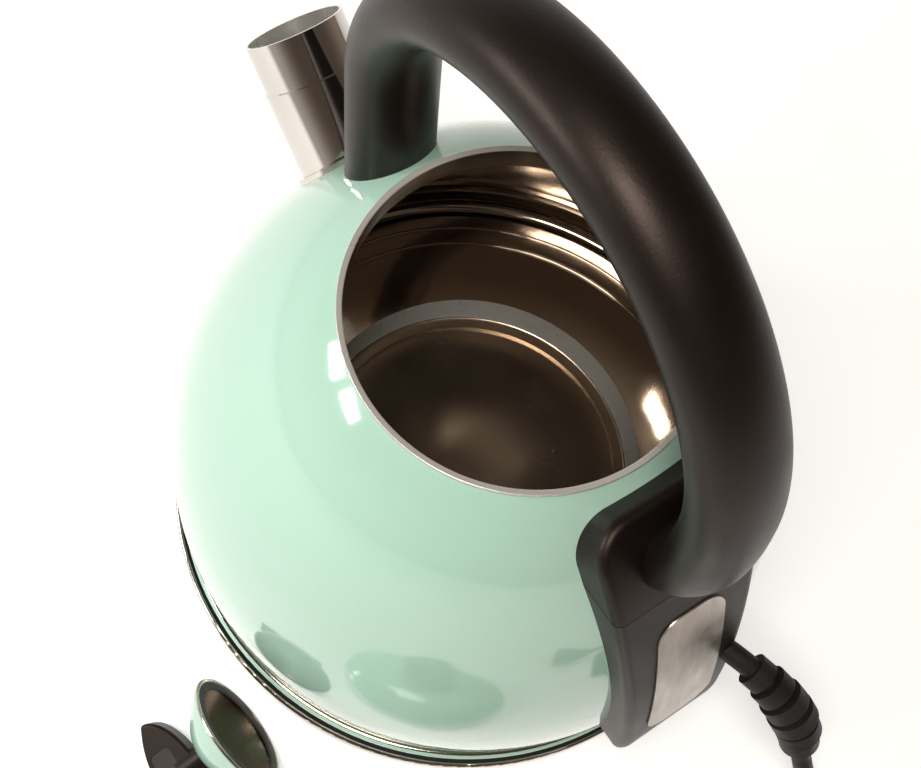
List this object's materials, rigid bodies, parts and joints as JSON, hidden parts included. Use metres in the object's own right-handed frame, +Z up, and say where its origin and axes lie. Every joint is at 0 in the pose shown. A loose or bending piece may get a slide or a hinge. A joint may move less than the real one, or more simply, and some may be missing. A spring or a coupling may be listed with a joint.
{
  "type": "electric kettle",
  "caption": "Domed enamel electric kettle with arched handle, short straight spout, open mouth, lift-off lid and whistle cap, rear cord housing and coiled lead.",
  "frame": {"origin": "centre of the kettle's base, on the table the feet stand on", "axes": "+Z up along the body's axis; spout towards -X, rear housing and lead towards +X; XZ is the kettle's plane of symmetry"},
  "size_m": [0.3884, 0.2898, 0.2707],
  "materials": {
    "mint_enamel": "glossy enamel",
    "polished_steel": "polished",
    "heater_aluminium": "brushed",
    "chrome_spout": "mirror",
    "black_plastic": "soft sheen",
    "knob_inset": "matte",
    "plate_aluminium": "satin",
    "element_steel": "satin",
    "limiter_plastic": "matte",
    "base_plastic": "matte",
    "fastener_steel": "zinc plated",
    "brass": "satin",
    "seal_rubber": "matte",
    "cord_rubber": "matte",
    "tie_plastic": "matte",
    "lead_rubber": "matte",
    "foot_rubber": "matte"
  },
  "bodies": {
    "kettle": {"base_cover": "base_plastic", "base_ring": "polished_steel", "base_screws": "fastener_steel", "base_studs": "fastener_steel", "body_shell": "mint_enamel", "cord": "cord_rubber", "cord_coil": "cord_rubber", "cord_tail": "cord_rubber", "cord_tie": "tie_plastic", "cover_boss": "fastener_steel", "cover_screw": "fastener_steel", "floor_pan": "polished_steel", "foot_1": "foot_rubber", "foot_2": "foot_rubber", "foot_3": "foot_rubber", "foot_4": "foot_rubber", "handle": "black_plastic", "handle_inserts": "brass", "handle_screws": "fastener_steel", "heat_limiter": "limiter_plastic", "heater_plate": "heater_aluminium", "heating_element": "element_steel", "inner_leads": "lead_rubber", "mouth_collar": "polished_steel", "plug_body": "cord_rubber", "plug_pins": "brass", "rating_plate": "plate_aluminium", "rear_cap": "black_plastic", "rear_cover": "black_plastic", "relief_boot": "cord_rubber", "spout_flange": "chrome_spout", "spout_tube": "chrome_spout", "terminal_block": "limiter_plastic"},
    "whistle_cap": {"cap_shell": "mint_enamel", "cap_rim": "polished_steel", "cap_seal": "seal_rubber", "whistle_drum": "polished_steel", "cap_stud": "fastener_steel", "cap_knob": "black_plastic", "cap_inset": "knob_inset"},
    "lid": {"lid_liner": "polished_steel", "lid_shell": "mint_enamel", "lid_seal": "seal_rubber", "lid_knob": "black_plastic", "lid_inset": "knob_inset", "lid_screw": "fastener_steel"}
  },
  "joints": [
    {"name": "lid_lift", "type": "slide", "parent": "kettle", "child": "lid", "axis": [0, 0, 1], "range_m": [0, 0.15]},
    {"name": "cap_lift", "type": "slide", "parent": "kettle", "child": "whistle_cap", "axis": [0, 0, 1], "range_m": [0, 0.12]}
  ]
}
